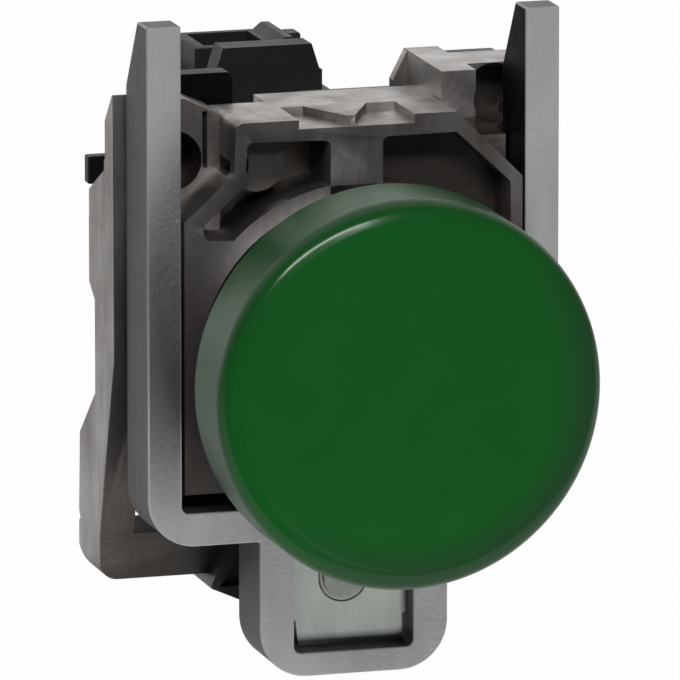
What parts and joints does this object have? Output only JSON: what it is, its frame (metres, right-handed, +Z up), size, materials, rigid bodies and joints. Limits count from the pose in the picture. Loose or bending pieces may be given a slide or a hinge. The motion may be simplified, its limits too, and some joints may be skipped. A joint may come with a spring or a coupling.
{
  "type": "panel pilot light",
  "caption": "Round green pilot light for a 22 mm panel hole, with a metal collar, a screw-driven clamp fork and a narrow light block behind.",
  "frame": {"origin": "head axis at the rear face of the gasket, where it seats on the panel", "axes": "+X right seen from the front, +Y back through the panel, +Z up"},
  "size_m": [0.0314, 0.0542, 0.047],
  "materials": {
    "lens": "satin translucent green",
    "diffuser": "frosted",
    "rubber_black": "matte",
    "bezel_metal": "satin",
    "collar_metal": "cast zinc, streaky satin",
    "black_plastic": "fine matte",
    "block_plastic": "fine matte",
    "clear_plastic": "clear",
    "board": "satin",
    "resistor": "gloss",
    "capacitor": "gloss",
    "brass": "satin",
    "ring_steel": "satin",
    "clamp_metal": "grey, fine cast grain",
    "plate_steel": "satin",
    "screw_steel": "satin"
  },
  "bodies": {
    "root": {"lens": "lens", "diffuser": "diffuser", "lens_seal": "rubber_black", "bezel_body": "bezel_metal", "panel_gasket": "rubber_black", "collar_body": "collar_metal", "block_carrier": "black_plastic", "block_housing": "block_plastic", "block_cover": "block_plastic", "light_tube": "clear_plastic", "led": "clear_plastic", "circuit_board": "board", "rectifier": "black_plastic", "resistor_upper": "resistor", "resistor_lower": "resistor", "capacitor": "capacitor", "terminal_plate_upper": "brass", "terminal_plate_lower": "brass"},
    "lever": {"lock_ring": "ring_steel", "lock_lever": "black_plastic"},
    "clamp": {"clamp_fork": "clamp_metal", "thrust_plate": "plate_steel"},
    "clamp_screw": {"clamp_screw": "screw_steel"},
    "saddle_upper": {"saddle_upper": "screw_steel"},
    "terminal_screw_upper": {"terminal_screw_upper": "screw_steel"},
    "saddle_lower": {"saddle_lower": "screw_steel"},
    "terminal_screw_lower": {"terminal_screw_lower": "screw_steel"}
  },
  "joints": [
    {"name": "lever_swing", "type": "hinge", "parent": "root", "child": "lever", "pos_m": [0, 0.0162, 0], "axis": [0, -1, 0], "range_deg": [0, 16]},
    {"name": "clamp_slide", "type": "slide", "parent": "root", "child": "clamp", "axis": [0, -1, 0], "range_m": [0, 0.0048]},
    {"name": "clamp_screw_turn", "type": "hinge", "parent": "clamp", "child": "clamp_screw", "pos_m": [-0.0003, 0.015, -0.01625], "axis": [0, -1, 0], "range_deg": [0, 2160]},
    {"name": "saddle_upper_slide", "type": "slide", "parent": "root", "child": "saddle_upper", "axis": [0, 1, 0], "range_m": [0, 0.0024]},
    {"name": "terminal_screw_upper_turn", "type": "hinge", "parent": "saddle_upper", "child": "terminal_screw_upper", "pos_m": [0, 0.038, 0.0094], "axis": [0, 1, 0], "range_deg": [0, 1440]},
    {"name": "saddle_lower_slide", "type": "slide", "parent": "root", "child": "saddle_lower", "axis": [0, 1, 0], "range_m": [0, 0.0024]},
    {"name": "terminal_screw_lower_turn", "type": "hinge", "parent": "saddle_lower", "child": "terminal_screw_lower", "pos_m": [0, 0.038, -0.0073], "axis": [0, 1, 0], "range_deg": [0, 1440]}
  ],
  "couplings": [
    {"joint": "clamp_screw_turn", "follows": "clamp_slide", "rad_per_m": 7854},
    {"joint": "terminal_screw_upper_turn", "follows": "saddle_upper_slide", "rad_per_m": 10472},
    {"joint": "terminal_screw_lower_turn", "follows": "saddle_lower_slide", "rad_per_m": 10472}
  ]
}
